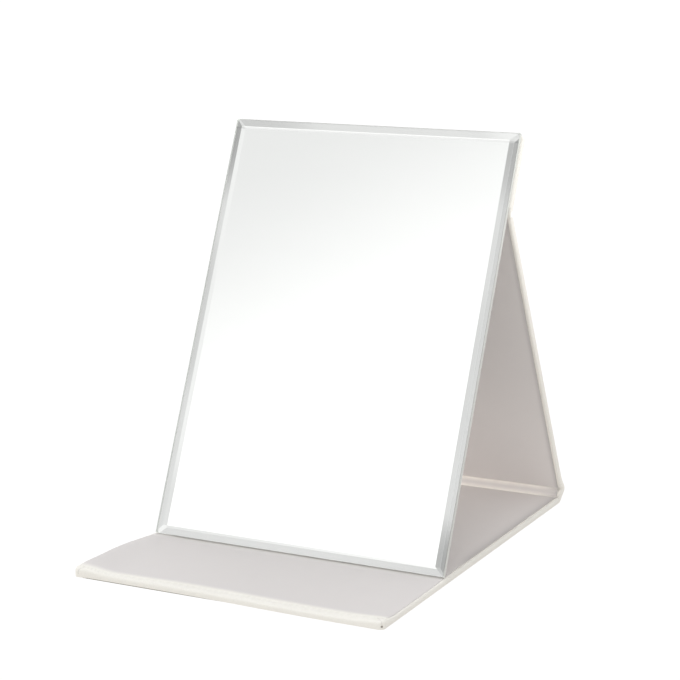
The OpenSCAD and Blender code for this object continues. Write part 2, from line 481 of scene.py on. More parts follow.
def unrolled(points):
    """UV in metres: u runs round the section from its first place, and v along the line."""
    round_steps = np.linalg.norm(np.diff(points, axis=1), axis=2)
    u = np.concatenate([np.zeros((len(points), 1)), np.cumsum(round_steps, 1)], 1)
    v = travelled(points[:, 0])
    return np.stack([u, np.broadcast_to(v[:, None], u.shape)], -1)


# ---------------------------------------------------------------- node helpers


class Nodes:
    """Adds nodes to one tree. Every input is a number, a colour or another node's output."""

    def __init__(self, tree):
        self.tree = tree

    def feed(self, node, inputs):
        """Sets a node's inputs to values, or links them from outputs."""
        for key, value in inputs.items():
            if isinstance(value, bpy.types.NodeSocket):
                self.tree.links.new(value, node.inputs[key])
            else:
                node.inputs[key].default_value = value

    def add(self, kind, inputs=None, **settings):
        """A node with its settings and inputs."""
        node = self.tree.nodes.new(kind)
        for key, value in settings.items():
            setattr(node, key, value)
        self.feed(node, inputs or {})
        return node

    def maths(self, operation, *values, clamp=False):
        """A Math node's output."""
        values = dict(enumerate(values))
        return self.add("ShaderNodeMath", values, operation=operation, use_clamp=clamp).outputs[0]

    def times(self, a, b):
        """a * b"""
        return self.maths("MULTIPLY", a, b)

    def plus(self, a, b, clamp=False):
        """a + b"""
        return self.maths("ADD", a, b, clamp=clamp)

    def minus(self, a, b):
        """a - b"""
        return self.maths("SUBTRACT", a, b)

    def over(self, a, b):
        """a / b"""
        return self.maths("DIVIDE", a, b)

    def size(self, a):
        """|a|"""
        return self.maths("ABSOLUTE", a)

    def share(self, value):
        """A value from -1..1 taken to 0..1."""
        return self.plus(self.times(value, 0.5), 0.5, clamp=True)

    def remap(self, value, a, b, c=0.0, d=1.0):
        """A value taken from a..b to c..d by a smooth step."""
        inputs = {"Value": value, "From Min": a, "From Max": b, "To Min": c, "To Max": d}
        node = self.add("ShaderNodeMapRange", inputs, interpolation_type="SMOOTHSTEP")
        return node.outputs["Result"]

    def vectors(self, operation, *values):
        """A Vector Math node's output: a number for DOT_PRODUCT and DISTANCE."""
        node = self.add("ShaderNodeVectorMath", dict(enumerate(values)), operation=operation)
        return node.outputs["Value" if operation in {"DOT_PRODUCT", "DISTANCE"} else "Vector"]

    def blend(self, factor, a, b):
        """A colour mix: a where the factor is 0, and b where it is 1."""
        a, b = (v if isinstance(v, bpy.types.NodeSocket) else (*v[:3], 1) for v in (a, b))
        return self.add("ShaderNodeMix", {0: factor, 6: a, 7: b}, data_type="RGBA").outputs[2]

    def noise(self, vector, scale, detail, roughness=0.5, output="Fac"):
        """A Noise Texture's output."""
        inputs = {"Vector": vector, "Scale": scale, "Detail": detail, "Roughness": roughness}
        return self.add("ShaderNodeTexNoise", inputs).outputs[output]

    def cells(self, vector, scale, feature, output):
        """A Voronoi Texture's output."""
        inputs = {"Vector": vector, "Scale": scale}
        return self.add("ShaderNodeTexVoronoi", inputs, feature=feature).outputs[output]

    def place(self):
        """Object coordinates."""
        return self.add("ShaderNodeTexCoord").outputs["Object"]

    def surface(self):
        """The piece's own UV map, in metres."""
        return self.add("ShaderNodeUVMap", uv_map="Surface").outputs["UV"]

    def attribute(self, name):
        """A number stored at the piece's points."""
        return self.add("ShaderNodeAttribute", attribute_name=name).outputs["Fac"]

    def mapped(self, vector, **inputs):
        """A vector stretched or turned by a Mapping node."""
        return self.add("ShaderNodeMapping", {"Vector": vector, **inputs}).outputs[0]

    def xyz(self, vector):
        """The three numbers of a vector."""
        return self.add("ShaderNodeSeparateXYZ", {"Vector": vector}).outputs

    def shared(self, name, **inputs):
        """The outputs of a shared group placed in this tree."""
        return self.add("ShaderNodeGroup", inputs, node_tree=group(name)).outputs

    def bump(self, height, distance, strength):
        """A Bump node's normal."""
        inputs = {"Height": height, "Distance": distance, "Strength": strength}
        return self.add("ShaderNodeBump", inputs).outputs["Normal"]

    def mix(self, factor, a, b):
        """A mix of two shaders: a where the factor is 0, and b where it is 1."""
        return self.add("ShaderNodeMixShader", {0: factor, 1: a, 2: b}).outputs[0]


def emptied(owner):
    """The node tree of a material or world, emptied."""
    owner.use_nodes = True
    owner.node_tree.nodes.clear()
    return Nodes(owner.node_tree)


def new_group(name, inputs, outputs):
    """A shader node group: its nodes, its inputs and its output node.

    inputs gives each input's default, or None for a vector, and the outputs are numbers.
    """
    tree = bpy.data.node_groups.new(name, "ShaderNodeTree")
    for label, default in inputs.items():
        kind = "NodeSocketVector" if default is None else "NodeSocketFloat"
        socket = tree.interface.new_socket(label, in_out="INPUT", socket_type=kind)
        if default is not None:
            socket.default_value = default
    for label in outputs:
        tree.interface.new_socket(label, in_out="OUTPUT", socket_type="NodeSocketFloat")
    n = Nodes(tree)
    return n, n.add("NodeGroupInput").outputs, n.add("NodeGroupOutput")


def pebble_grain():
    """Fine pebbled grain: Height is high on each pebble, and Tone varies from pebble to pebble."""
    n, given, out = new_group(
        "Pebble grain", {"Vector": None, "Scale": 1500.0, "Crack": 0.12}, ("Height", "Tone"))
    vector, scale = given["Vector"], given["Scale"]
    bend = n.noise(vector, n.times(scale, 0.45), 2.0, output="Color")
    bend = n.vectors("MULTIPLY", bend, (0.9 * MM, 0.9 * MM, 0.9 * MM))
    bent = n.vectors("ADD", vector, bend)
    edge = n.cells(bent, scale, "DISTANCE_TO_EDGE", "Distance")
    tone = n.cells(bent, scale, "F1", "Color")
    top = n.remap(edge, 0.0, given["Crack"])
    fine = n.noise(vector, n.times(scale, 2.5), 3.0)
    n.feed(out, {
        "Height": n.plus(n.times(top, 0.7), n.times(fine, 0.3)),
        "Tone": n.add("ShaderNodeSeparateColor", {"Color": tone}).outputs[0],
    })
    return n.tree


def slow_mottle():
    """Slow cloudy variation: Value is about 0 on average and reaches about -1 and 1."""
    n, given, out = new_group("Slow mottle", {"Vector": None, "Scale": 25.0}, ("Value",))
    vector, scale = given["Vector"], given["Scale"]
    wide = n.noise(vector, scale, 3.0, 0.55)
    small = n.noise(vector, n.times(scale, 6.0), 2.0)
    total = n.plus(n.times(wide, 0.75), n.times(small, 0.25))
    n.feed(out, {"Value": n.times(n.minus(total, 0.5), 4.0)})
    return n.tree


def dark_spots():
    """Mask of small round pits, at Spot and its mirror image in x: 1 inside, 0 beyond Radius."""
    n, given, out = new_group(
        "Dark spots", {"Vector": None, "Spot": None, "Radius": 0.5 * MM}, ("Mask",))
    x, y, z = n.xyz(given["Vector"])
    folded = n.add("ShaderNodeCombineXYZ", {0: n.size(x), 1: y, 2: z}).outputs[0]
    away = n.vectors("DISTANCE", folded, given["Spot"])
    radius = given["Radius"]
    n.feed(out, {"Mask": n.remap(away, n.times(radius, 0.3), radius, 1.0, 0.0)})
    return n.tree


GROUPS = {"Pebble grain": pebble_grain, "Slow mottle": slow_mottle, "Dark spots": dark_spots}


def group(name):
    """The shared node group of that name, built once."""
    return bpy.data.node_groups.get(name) or GROUPS[name]()


def new_material(name):
    """An empty material, its nodes and its Principled shader."""
    mat = bpy.data.materials.new(name)
    n = emptied(mat)
    shader = n.add("ShaderNodeBsdfPrincipled")
    n.add("ShaderNodeOutputMaterial", {"Surface": shader.outputs[0]})
    return mat, n, shader


def scaled(rgb, k):
    """A colour times k, as four numbers."""
    return (*[min(1.0, c * k) for c in rgb[:3]], 1.0)


# ---------------------------------------------------------------- materials


def cover_material(fin, spot=None, outline=None):
    """Cream leatherette: pebble grain, slow mottle, and a warmer and smoother rim.

    Given a spot and the outline's (half width, front), it has a pit in each folded corner, darkened
    with painted shade, and the pressed line at 45 degrees where two turned-in edges meet.
    """
    mat, n, shader = new_material("Cover leatherette" + (" with corner folds" if spot else ""))
    surface = n.surface()
    rim = n.attribute("rim")
    grain = n.shared("Pebble grain", Vector=surface, Scale=1700.0, Crack=0.16)
    mottle = n.shared("Slow mottle", Vector=surface, Scale=22.0)["Value"]
    tone = n.plus(n.times(mottle, 0.35), n.times(n.minus(grain["Tone"], 0.5), 0.5))
    tint = n.blend(n.share(tone), scaled(fin.cover, 0.975), scaled(fin.cover, 1.02))
    tint = n.blend(n.times(rim, 0.85), tint, scaled(fin.cover_rim, 1.0))
    tint = n.vectors("MULTIPLY", tint, n.remap(grain["Height"], 0.15, 0.6, 0.93, 1.0))
    height = n.times(grain["Height"], n.remap(rim, 0.0, 1.0, 1.0, 0.45))
    if spot:
        place = n.place()
        pit = n.shared("Dark spots", Vector=place, Spot=spot, Radius=0.85 * MM)["Mask"]
        # painted shade: the pit's near-black brown stands in for the shadow inside the corner fold
        tint = n.blend(n.times(pit, 0.92), tint, (0.10, 0.075, 0.05))
        height = n.minus(height, n.times(pit, 6.0))
        x, y, z = n.xyz(place)
        inset = n.minus(outline[0], n.size(x))
        along = n.minus(y, outline[1])
        line = n.remap(n.size(n.minus(inset, along)), 0.05 * MM, 0.30 * MM, 1.0, 0.0)
        near = n.remap(along, 8 * MM, 12 * MM, 1.0, 0.0)
        cut = n.times(n.times(line, near), n.remap(z, 2.2 * MM, 2.8 * MM))
        tint = n.blend(n.times(cut, 0.5), tint, scaled(fin.cover_rim, 0.6))
        height = n.minus(height, n.times(cut, 3.0))
    rough = n.plus(n.remap(grain["Height"], 0.2, 0.9, 0.60, 0.47), n.times(mottle, 0.02))
    n.feed(shader, {
        "Base Color": tint,
        "Roughness": n.minus(rough, n.times(rim, 0.06)),
        "Specular IOR Level": 0.45,
        "Normal": n.bump(height, 0.03 * MM, 0.7),
    })
    return mat


def lining_material(fin):
    """Smooth pale lining: a soft nap of short fibres, slow mottle and a faint sheen.

    It carries painted shade at its rim and beside its long edges, is cream at its feathered front
    end, and carries a painted highlight over the creases.
    """
    mat, n, shader = new_material("Smooth lining")
    surface = n.surface()
    mottle = n.shared("Slow mottle", Vector=surface, Scale=16.0)["Value"]
    nap = n.noise(n.mapped(surface, Scale=(1.0, 0.35, 1.0)), 2600.0, 4.0, 0.6)
    grain = n.shared("Pebble grain", Vector=surface, Scale=2300.0, Crack=0.2)
    tone = n.plus(n.times(mottle, 0.45), n.times(n.minus(nap, 0.5), 1.2))
    tint = n.blend(n.share(tone), scaled(fin.lining, 0.97), scaled(fin.lining, 1.025))
    # painted shade: the lining darkens towards its edge, beside the raised border
    tint = n.blend(n.times(n.attribute("rim"), 0.35), tint, scaled(fin.lining, 0.9))
    # painted shade: the dip darkens the lining beside its long edges and where the creases end
    tint = n.blend(n.times(n.attribute("dip"), 0.9), tint, scaled(fin.lining, 0.76))
    tint = n.blend(n.attribute("feather"), tint, scaled(fin.cover, 0.99))
    # painted highlight: paler lining over the spine and the crease arcs
    tint = n.blend(n.attribute("stretch"), tint, fin.stretched)
    height = n.plus(n.times(nap, 0.6), n.times(grain["Height"], 0.5))
    n.feed(shader, {
        "Base Color": tint,
        "Roughness": n.remap(nap, 0.3, 0.7, 0.66, 0.56),
        "Specular IOR Level": 0.4,
        "Sheen Weight": 0.08,
        "Sheen Roughness": 0.4,
        "Normal": n.bump(height, 0.02 * MM, 0.6),
    })
    return mat


def board_material(fin):
    """Grey board: pressed fibres and darker flecks."""
    mat, n, shader = new_material("Grey board")
    place = n.place()
    fibre = n.noise(n.mapped(place, Scale=(0.25, 1.0, 1.0)), 1400.0, 5.0, 0.7)
    fleck = n.noise(place, 420.0, 1.0)
    tint = n.blend(fibre, scaled(fin.board, 0.86), scaled(fin.board, 1.14))
    n.feed(shader, {
        "Base Color": n.blend(n.remap(fleck, 0.68, 0.74), tint, scaled(fin.board, 0.6)),
        "Roughness": n.remap(fibre, 0.3, 0.7, 0.8, 0.92),
        "Normal": n.bump(fibre, 0.05 * MM, 0.6),
    })
    return mat


def foam_material(name, rgb, cell, shades, by, rough, bump):
    """Foam: pebbled cells, toned by the grain's output called by.

    cell is the grain's (scale, crack), shades the darkest and palest share of the colour, rough
    the roughness in the cracks and on top, and bump the (depth, strength).
    """
    mat, n, shader = new_material(name)
    grain = n.shared("Pebble grain", Vector=n.place(), Scale=cell[0], Crack=cell[1])
    n.feed(shader, {
        "Base Color": n.blend(grain[by], scaled(rgb, shades[0]), scaled(rgb, shades[1])),
        "Roughness": n.remap(grain["Height"], 0.2, 0.8, *rough),
        "Normal": n.bump(grain["Height"], *bump),
    })
    return mat


def padding_material(fin):
    """White foam: small open cells."""
    return foam_material("Foam padding", fin.padding, (2400.0, 0.3), (0.9, 1.02), "Height",
                         (0.95, 0.85), (0.04 * MM, 0.8))


def tape_material(fin):
    """Grey foam tape: closed cells with a slight gloss."""
    return foam_material("Foam tape", fin.tape, (3200.0, 0.25), (0.92, 1.08), "Tone",
                         (0.75, 0.6), (0.03 * MM, 0.6))


def film_material(fin):
    """Backing film: matt, with faint roller lines along x and slow mottle."""
    mat, n, shader = new_material("Backing film")
    place = n.place()
    roller = n.noise(n.mapped(place, Scale=(0.02, 1.0, 1.0)), 900.0, 3.0)
    mottle = n.shared("Slow mottle", Vector=place, Scale=30.0)["Value"]
    tone = n.plus(n.times(mottle, 0.25), roller, clamp=True)
    n.feed(shader, {
        "Base Color": n.blend(tone, scaled(fin.film, 0.96), scaled(fin.film, 1.04)),
        "Roughness": n.remap(roller, 0.3, 0.7, 0.50, 0.42),
        "Normal": n.bump(roller, 0.01 * MM, 0.5),
    })
    return mat


def silver_material(fin, lay):
    """Silver coat: a clean mirror, the slightest cloudiness in its polish, and one darker line."""
    mat, n, shader = new_material("Silver coat")
    place = n.place()
    mottle = n.shared("Slow mottle", Vector=place, Scale=9.0)["Value"]
    tint = n.blend(n.share(mottle), scaled(fin.silver, 0.997), scaled(fin.silver, 1.0))
    # the line lies behind the top bevel's inner edge, from 1 mm below it to 0.45 mm above
    ridge = float(lay.film_foot @ lay.up) + lay.glass.height - lay.glass.bevel_w
    along = n.vectors("DOT_PRODUCT", place, (0.0, *lay.up))
    below = n.remap(along, ridge - 1.0 * MM, ridge - 0.7 * MM)
    above = n.remap(along, ridge + 0.45 * MM, ridge + 0.15 * MM)
    n.feed(shader, {
        "Base Color": n.blend(n.times(below, above), tint, scaled(fin.silver, 0.82)),
        "Metallic": 1.0,
        "Roughness": n.remap(mottle, -1.0, 1.0, 0.0, 0.004),
    })
    return mat


def glass_material(fin):
    """Clear float glass: polished, with a trace of wiping marks in its gloss."""
    mat, n, shader = new_material("Clear glass")
    turned = n.mapped(n.place(), Rotation=(0.3, 0.0, 0.5), Scale=(1.0, 5.0, 5.0))
    wipe = n.noise(turned, 14.0, 3.0)
    marked = n.remap(wipe, 0.3, 0.75)
    n.feed(shader, {
        "Base Color": n.blend(marked, scaled(fin.glass, 1.0), scaled(fin.glass, 0.994)),
        "Roughness": n.remap(wipe, 0.55, 0.8, 0.0, 0.006),
        "Metallic": 0.0,
        "Transmission Weight": 1.0,
        "IOR": 1.52,
    })
    return mat


def ground_edge_material(fin, lay):
    """Ground edge of the glass: matt grey-green, with fine scratches and a faint glow.

    The glow is the ground colour times 0.4 on the bottom edge, and times 0.5 on the sides and the
    top, where it shows only from inside the glass.
    """
    mat, n, shader = new_material("Ground glass edge")
    place = n.place()
    scratch = n.noise(place, 2200.0, 3.0)
    mottle = n.shared("Slow mottle", Vector=place, Scale=60.0)["Value"]
    tone = n.plus(scratch, n.times(mottle, 0.2), clamp=True)
    along = n.vectors("DOT_PRODUCT", place, (0.0, *lay.up))
    across = n.size(n.xyz(place)["X"])
    foot, half = float(lay.film_foot @ lay.up), float(GLASS_BOX[1][0])
    top = foot + lay.glass.height
    bottom = n.remap(along, foot + 0.4 * MM, foot + 0.2 * MM, 0.0, 0.4)
    sides = n.remap(across, half - 0.4 * MM, half - 0.2 * MM, 0.0, 0.5)
    above = n.remap(along, top - 0.4 * MM, top - 0.2 * MM, 0.0, 0.5)
    inside = n.add("ShaderNodeNewGeometry").outputs["Backfacing"]
    glow = n.plus(bottom, n.times(n.plus(sides, above), inside))
    n.feed(shader, {
        "Base Color": n.blend(tone, scaled(fin.ground, 0.92), scaled(fin.ground, 1.06)),
        "Roughness": n.remap(scratch, 0.3, 0.7, 0.5, 0.65),
        "Emission Color": n.blend(glow, (0.0, 0.0, 0.0), fin.ground),
        "Emission Strength": 1.0,
        "Normal": n.bump(scratch, 0.01 * MM, 0.4),
    })
    return mat


def finish_of(piece, material):
    """Gives a piece its only material."""
    piece.data.materials.clear()
    piece.data.materials.append(material)


# ---------------------------------------------------------------- cover and lining


def case_levels(lay, s):
    """Outer and inner face of the cover along the front line, from the line's axis."""
    c = lay.case
    end = c.crease_half + 0.9 * MM
    high = crease_floor(lay, s, c.crease_cover, lay.edge_t, 0.6 * MM, end) - lay.axis
    return np.full(len(s), -lay.axis), high


def lining_levels(lay, s):
    """Lower and upper face of the lining along the front line, from the line's axis."""
    c = lay.case
    end = c.crease_half + 0.6 * MM
    high = crease_floor(lay, s, c.crease_lining, lay.panel_t, 0.4 * MM, end) - lay.axis
    return high - c.lining_t - 0.05 * MM, high


def base_swell(lay, x, along):
    """Height that the base's lined face gains: folds in both front corners, and the left border.

    fold = fold_puff * S(|x|; 68..91 mm) * S(-along; -20..-2 mm), and
    left = curl * S(-x; 70..93 mm) * S(-along; -96..-34 mm) * (1 - 0.7 * S(-along; -16..0 mm)), with
    S a smooth step.
    """
    c = lay.case
    fold = c.fold_puff * smooth(np.abs(x), 68 * MM, 91 * MM) * smooth(-along, -20 * MM, -2 * MM)
    left = c.curl * smooth(-x, 70 * MM, 93 * MM) * smooth(-along, -96 * MM, -34 * MM)
    return fold + left * (1 - 0.7 * smooth(-along, -16 * MM, 0))


def border_way(x):
    """How much narrower the front border gets to the left: 2.6 mm * S(-x; 10..80 mm)."""
    return 2.6 * MM * smooth(-x, 10 * MM, 80 * MM)


def side_way(along):
    """How much narrower the side borders get to the front: 1.1 mm * (1 - S(along; 60..100 mm))."""
    return 1.1 * MM * (1 - smooth(along, 60 * MM, 100 * MM))


def base_warp(lay, points, along):
    """Moves the base's points: its front left corner lifts, and the left border spreads.

    Up by warp * S(-x; -60..40 mm) * (1 - 0.5 * S(-x; 80..92 mm)) * S(-along; -90..0 mm), and out by
    S(-x; 66..91 mm) * (left_out * S(-along; -112..-30 mm) + tip_out * S(-along; -16..-1 mm)), with
    S a smooth step.
    """
    c = lay.case
    x = points[..., 0]
    up = c.warp * smooth(-x, -60 * MM, 40 * MM) * (1 - 0.5 * smooth(-x, 80 * MM, 92 * MM))
    far = c.left_out * smooth(-along, -112 * MM, -30 * MM)
    far = far + c.tip_out * smooth(-along, -16 * MM, -1 * MM)
    out = far * smooth(-x, 66 * MM, 91 * MM)
    return points + np.stack([-out, 0 * up, up * smooth(-along, -90 * MM, 0)], -1)


def cover_band(lay, name, line, angles, levels, ends, caps, reach_end, border, worn=False,
               heel=None):
    """One length of the cover: a closed band with a rim attribute near its edges.

    The border beside the lining stands up by puff * (1 - S(q; -0.5..0.1 mm)), where q is the
    distance past the border's inner line. The worn base also has its swell and warp. Beside the
    heel crease, at the distance heel along the line, the sides stand out by gather *
    exp(-((s - heel) / 5 mm)^2) * S(|x|; 86 mm..half width). rim is exp(-d / 1.1 mm) at the distance
    d from the outline.
    """
    c = lay.case

    def gain(x, inset, along):
        edge = border - (border_way(x) if worn else 0)
        side = c.side_border + c.bulge - (side_way(along) if worn else 0)
        past = np.minimum(inset - side, along - edge)
        up = c.puff * (1 - smooth(past, -0.5 * MM, 0.1 * MM))
        return up + (base_swell(lay, x, along) if worn else 0)

    reach = (c.top_reach, reach_end)
    points, dist = wrapped_band(line, angles, *levels, lay.half_w + c.bulge, ends, c.corner,
                                c.under_reach, reach, gain)
    if worn:
        points = base_warp(lay, points, np.broadcast_to(ends[:, None], dist.shape))
    if heel is not None:
        gather = c.gather * np.exp(-(((travelled(line) - heel) / (5.0 * MM)) ** 2))[:, None]
        x = points[..., 0]
        points[..., 0] += np.sign(x) * gather * smooth(np.abs(x), 86 * MM, lay.half_w)
    rim = np.exp(-dist / (1.1 * MM))
    return make_piece(name, points, closed_tube(points, *caps), unrolled(points), {"rim": rim})


def lining_band(lay, name, line, angles, levels, ends, caps, seed, stretch, shift=0.0, worn=False):
    """One length of the lining: a closed thin band, slightly rippled and pressed at its border.

    Both faces move by ripple * (waves - 1) / 2 and by -0.12 mm * exp(-d / 1.3 mm), at the distance
    d from the outline and outside the creases. The worn base's lining also follows the cover under
    it, shift behind the front edge, and its front end feathers out over 5 mm. Its attributes, where
    side is the distance to the long edge:
    rim = exp(-d / 0.7 mm), which carries painted shade along the lining's edge;
    the painted highlight over the creases = the given one * (0.35 + 0.65 * S(side; 1.5..14 mm));
    feather = 1 - S(along; 0..5 mm) on the worn base;
    dip, painted shade beside the long edges (on the worn base only behind the glass) and where the
    creases meet them = the larger of exp(-(side / 1.6 mm)^2), or on the worn base
    exp(-(side / 3 mm)^2) * S(along; 85..120 mm), and 0.9 * exp(-(side / 4 mm)^2) * min(1.4 * the
    given highlight, 1).
    """
    c = lay.case
    low, high = levels
    half_w = lay.half_w - c.side_border
    under, over = 0.2 * MM, 0.3 * MM
    points, dist = wrapped_band(line, angles, low, high, half_w, ends, LINING_CORNER, under,
                                (over, over))
    normal = np.stack([0 * angles, -np.sin(angles), np.cos(angles)], 1)[:, None, :]
    # 1 on the panels and 0 in the creases, where the lining lies low
    span = high.max() - high.min()
    full = smooth(high - high.min(), 0.3 * span, span + 1e-9)[:, None] if span > 1e-6 else 1.0
    waves = slow_ripple(points[..., 0], travelled(line)[:, None], seed) - 1.0
    lift = waves * 0.5 * c.ripple * smooth(dist, 0.5 * MM, 9 * MM) * full
    lift = lift - 0.12 * MM * np.exp(-dist / (1.3 * MM)) * full
    along = np.broadcast_to(ends[:, None], dist.shape)
    # the dip is painted shade: 1.6 mm wide along the edges, and on the worn base 3 mm wide and only
    # behind the glass
    feather, dip_w, dip_from = 0 * dist, 1.6 * MM, 1.0
    if worn:
        feather, dip_w = 1 - smooth(along, 0, 5 * MM), 3.0 * MM
        dip_from = smooth(along, 85 * MM, 120 * MM)
        near = 1 - smooth(along, 0, 14 * MM)
        points[..., 1] -= border_way(points[..., 0]) * near
        out = side_way(along + shift) * smooth(np.abs(points[..., 0]), 76 * MM, half_w)
        points[..., 0] += np.sign(points[..., 0]) * out
        place = along + shift - border_way(points[..., 0]) * near
        lift = lift + base_swell(lay, points[..., 0], place)
    points = points + normal * lift[..., None]
    if worn:
        points = base_warp(lay, points, place)
    side = half_w - np.abs(points[..., 0])
    stretch = stretch[:, None]
    # painted shade where the creases meet the lining's long edges
    pressed = 0.9 * np.exp(-((side / (4.0 * MM)) ** 2)) * np.minimum(1.4 * stretch, 1)
    marks = {
        "rim": np.exp(-dist / (0.7 * MM)),
        "stretch": stretch * (0.35 + 0.65 * smooth(side, 1.5 * MM, 14 * MM)),
        "feather": feather,
        "dip": np.maximum(np.exp(-((side / dip_w) ** 2)) * dip_from, pressed),
    }
    return make_piece(name, points, closed_tube(points, *caps), unrolled(points), marks)


def crease_highlight_over(s, start, end):
    """Share of the painted highlight on the lining: rises from 0 to 1 over each end of the length
    start..end, and dips to 0.2 in its middle.

    S(s; start - 1..start + 1.2 mm) * (1 - S(s; end - 1.4..end + 1 mm)) * (1 - 0.8 * exp(-t^2)),
    with t the distance from the middle over 0.13 of the length.
    """
    rise = smooth(s, start - 1.0 * MM, start + 1.2 * MM)
    fall = 1 - smooth(s, end - 1.4 * MM, end + 1.0 * MM)
    middle = np.exp(-(((s - (start + end) / 2) / (0.13 * (end - start))) ** 2))
    return rise * fall * (1 - 0.8 * middle)


def front_line(lay, s):
    """Base, spine and the start of the rear panel: a rounded line through foot and heel crease."""
    end = HEEL + lay.rear_way * (SEAM + 10 * MM)
    corners = [(lay.front, lay.axis), FOOT, HEEL, end]
    return rounded_line(corners, lay.case.crease_half, s)


def back_line(lay, s):
    """Rear panel and strip: a rounded line through the top crease, in the middle of the lining."""
    start = TOP - lay.rear_way * (lay.rear_len - SEAM)
    end = TOP + lay.up * lay.case.strip_h
    return rounded_line([start, TOP, end], lay.case.crease_half, s)


# ---------------------------------------------------------------- operators


class MakeCover(bpy.types.Operator):
    """Builds the outer cover as three bands that run on into each other."""

    bl_idname = "mesh.easel_cover"
    bl_label = "Outer cover"
    bl_options = {"REGISTER", "UNDO"}

    def execute(self, context):
        lay, fin = Layout(context.scene), context.scene.finishes
        c = lay.case
        # where the folds of a front corner meet: in the middle of its rounding, half way up
        corner_d = c.corner * (1 - math.sqrt(0.5))
        spot_z = 1.75 * MM
        spot = (lay.half_w - corner_d, lay.front + corner_d, spot_z)
        folded = cover_material(fin, spot, (lay.half_w, lay.front))
        plain = cover_material(fin)

        border_end, folds_end = 6.4 * MM, 30 * MM
        s = joined(
            end_stations(0, c.corner, 26),
            stations(
                (c.corner, border_end, FINE_STEP), (border_end, folds_end, 1.2 * MM),
                (folds_end, lay.foot - CREASE_ZONE, 4 * MM),
                (lay.foot - CREASE_ZONE, lay.middle, FINE_STEP)),
        )
        piece = cover_band(
            lay, "case_cover_base", *front_line(lay, s), case_levels(lay, s), s, (False, True),
            c.front_reach, c.front_border, True, lay.heel)
        finish_of(piece, folded)
        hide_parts("base_cover", "spine_cover")
        start, end = lay.chord(BASE_WAY, lay.spine_way, FOOT)
        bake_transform(piece)

        s = stations(
            (lay.middle, lay.heel + CREASE_ZONE, FINE_STEP),
            (lay.heel + CREASE_ZONE, lay.heel + SEAM, 5 * MM))
        piece = cover_band(
            lay, "case_cover_rear", *front_line(lay, s), case_levels(lay, s),
            np.full(len(s), NO_END), (True, True), c.top_reach, 0.0, heel=lay.heel - lay.middle)
        finish_of(piece, plain)
        start, end = lay.chord(lay.spine_way, lay.rear_way, HEEL)
        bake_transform(piece)

        top = lay.rear_len - SEAM
        last = top + c.strip_h
        s = joined(
            stations(
                (0, top - CREASE_ZONE, 5 * MM), (top - CREASE_ZONE, top + CREASE_ZONE, 0.2 * MM),
                (top + CREASE_ZONE, last - c.corner, 4 * MM)),
            end_stations(last, c.corner, 22, -1),
        )
        # the cover is thin in the crease, and wraps the boards on both sides of it; past the crease
        # its inner face rises by step, to stand forward of the line that the lining turns about
        a, b = c.crease_half - 0.1 * MM, c.crease_half + 1.0 * MM
        board, step, forward = 1.8 * MM, 0.6 * MM, 0.35 * MM
        after = s > top
        strip_out = (2 * c.cover_t + board) - forward
        thin = c.lining_t / 2 + c.cover_t
        outer = np.where(after, strip_out, lay.lining_axis)
        low = -(thin + (outer - thin) * smooth(np.abs(s - top), a, b))
        risen = np.where(after, step, 0.0) * smooth(s - top, b, b + 1.2 * MM)
        high = -(c.lining_t / 2 - risen)
        piece = cover_band(
            lay, "case_cover_strip", *back_line(lay, s), (low, high),
            np.where(after, last - s, NO_END), (True, False), c.top_reach, 0.0)
        finish_of(piece, plain)
        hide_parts("rear_cover", "strip_cover")
        start, end = lay.chord(lay.rear_way, lay.up, TOP)
        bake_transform(piece)
        return {"FINISHED"}


class MakeLining(bpy.types.Operator):
    """Builds the lining as three thin bands that follow the panels and dip into the creases."""

    bl_idname = "mesh.easel_lining"
    bl_label = "Lining"
    bl_options = {"REGISTER", "UNDO"}

    def execute(self, context):
        lay, fin = Layout(context.scene), context.scene.finishes
        c = lay.case
        mat = lining_material(fin)
        # the painted highlight over the spine reaches a little past both creases
        reach = 1.9 * MM
        strip = (lay.foot - reach, lay.heel + reach)

        first, near = c.front_border, c.front_border + 12 * MM
        s = joined(
            end_stations(first, LINING_CORNER, 14),
            stations(
                (first + LINING_CORNER, near, 1.0 * MM),
                (near, lay.foot - CREASE_ZONE, 4 * MM),
                (lay.foot - CREASE_ZONE, lay.middle, FINE_STEP)),
        )
        piece = lining_band(
            lay, "case_lining_base", *front_line(lay, s), lining_levels(lay, s), s - first,
            (False, True), 7, crease_highlight_over(s, *strip), first, True)
        finish_of(piece, mat)
        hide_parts("base_lining", "spine_lining")
        start, end = lay.chord(BASE_WAY, lay.spine_way, FOOT)
        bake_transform(piece)

        s = stations(
            (lay.middle, lay.heel + CREASE_ZONE, FINE_STEP),
            (lay.heel + CREASE_ZONE, lay.heel + SEAM, 4 * MM))
        piece = lining_band(
            lay, "case_lining_rear", *front_line(lay, s), lining_levels(lay, s),
            np.full(len(s), NO_END), (True, True), 8, crease_highlight_over(s, *strip))
        finish_of(piece, mat)
        start, end = lay.chord(lay.spine_way, lay.rear_way, HEEL)
        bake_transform(piece)

        top = lay.rear_len - SEAM
        s = stations(
            (0, top - CREASE_ZONE, 4 * MM), (top - CREASE_ZONE, top + 6 * MM, 0.2 * MM))
        half = np.full(len(s), c.lining_t / 2)
        piece = lining_band(
            lay, "case_lining_top", *back_line(lay, s), (-half - 0.05 * MM, half),
            np.full(len(s), NO_END), (True, True), 9,
            0.5 * crease_highlight_over(s, top - 1.5 * MM, top + 1.5 * MM))
        finish_of(piece, mat)
        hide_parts("rear_lining", "strip_lining")
        start, end = lay.chord(lay.rear_way, lay.up, TOP)
        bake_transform(piece)
        return {"FINISHED"}


